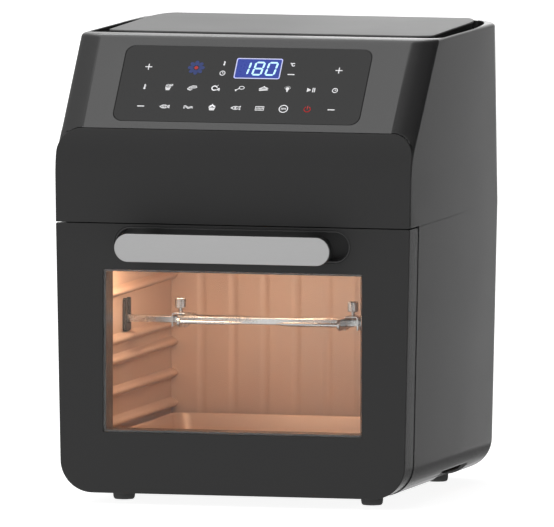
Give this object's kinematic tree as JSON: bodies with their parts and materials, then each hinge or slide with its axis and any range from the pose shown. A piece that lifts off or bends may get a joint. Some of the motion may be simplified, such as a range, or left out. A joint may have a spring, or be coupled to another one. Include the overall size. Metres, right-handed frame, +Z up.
{
  "type": "air fryer",
  "caption": "Countertop air fryer oven with drop-down glass door, slanted touch control face, handle, fan heater and rotisserie spit.",
  "frame": {"origin": "on the surface the feet stand on, under the centre of the whole object's box", "axes": "+Z up, -Y out of the door towards the user, +X to the user's right"},
  "size_m": [0.3142, 0.378, 0.398],
  "materials": {
    "black_gloss_plastic": "semi-gloss moulded",
    "black_satin_plastic": "satin moulded",
    "black_matte_plastic": "matte moulded",
    "grey_cover_plastic": "satin grey",
    "touch_glass": "smoked gloss overlay",
    "clear_glass": "clear",
    "display": "lit blue display",
    "circuit_board": "green laminate",
    "rubber": "matte",
    "brushed_silver": "brushed",
    "chamber_steel": "warm lit enamelled sheet",
    "bright_steel": "bright",
    "dark_coated_steel": "dark non-stick coat",
    "white_ceramic": "white"
  },
  "bodies": {
    "root": {"outer_housing": "black_gloss_plastic", "front_fascia": "black_satin_plastic", "top_vent_tray": "black_matte_plastic", "rear_cover": "black_matte_plastic", "exhaust_cover": "black_matte_plastic", "base_plate": "black_matte_plastic", "door_switch": "black_matte_plastic", "top_cover": "grey_cover_plastic", "touch_glass": "touch_glass", "lamp_lens": "clear_glass", "lamp_bulb": "clear_glass", "display_module": "display", "control_board": "circuit_board", "power_board": "circuit_board", "foot_front_left": "rubber", "foot_front_right": "rubber", "foot_rear_left": "rubber", "foot_rear_right": "rubber", "door_seal": "rubber", "cord_gland": "rubber", "drip_tray": "chamber_steel", "cavity_left_wall": "chamber_steel", "cavity_right_wall": "chamber_steel", "cavity_rear_wall": "chamber_steel", "cavity_floor": "chamber_steel", "cavity_ceiling": "chamber_steel", "front_frame": "chamber_steel", "fan_guard": "chamber_steel", "fan_chamber": "bright_steel", "heating_element": "bright_steel", "fan_motor": "bright_steel", "thermal_cutout": "bright_steel", "temperature_sensor": "bright_steel", "rotisserie_motor": "bright_steel", "hinge_arm_left": "bright_steel", "hinge_arm_right": "bright_steel", "spit_support": "dark_coated_steel", "door_catch": "dark_coated_steel", "lamp_holder": "white_ceramic"},
    "door": {"door_front_panel": "black_satin_plastic", "door_frame": "black_gloss_plastic", "door_outer_glass": "clear_glass", "door_inner_glass": "clear_glass", "door_inner_frame": "dark_coated_steel", "door_strike": "bright_steel", "handle_bar": "black_matte_plastic", "handle_face": "brushed_silver", "handle_pocket": "black_matte_plastic", "hinge_pin_left": "bright_steel", "hinge_pin_right": "bright_steel"},
    "rotisserie": {"drive_socket": "dark_coated_steel", "spit_rod": "bright_steel", "fork_left": "bright_steel", "fork_right": "bright_steel", "thumb_screw_left": "bright_steel", "thumb_screw_right": "bright_steel"},
    "fan": {"motor_shaft": "bright_steel", "hot_air_fan": "bright_steel", "cooling_fan": "dark_coated_steel"},
    "switch_plunger": {"door_switch_plunger": "white_ceramic"}
  },
  "joints": [
    {"name": "door_hinge", "type": "hinge", "parent": "root", "child": "door", "pos_m": [0, -0.14, 0.018], "axis": [1, 0, 0], "range_deg": [0, 75]},
    {"name": "rotisserie_spin", "type": "hinge", "parent": "root", "child": "rotisserie", "pos_m": [0, -0.035, 0.149], "axis": [1, 0, 0], "continuous": true},
    {"name": "fan_spin", "type": "hinge", "parent": "root", "child": "fan", "pos_m": [0, 0.001, 0.278], "axis": [0, 0, 1], "continuous": true},
    {"name": "switch_slide", "type": "slide", "parent": "root", "child": "switch_plunger", "axis": [0, -1, 0], "range_m": [0, 0.003]}
  ],
  "couplings": [
    {"joint": "switch_slide", "follows": "door_hinge", "m_per_rad": 0.00229}
  ]
}
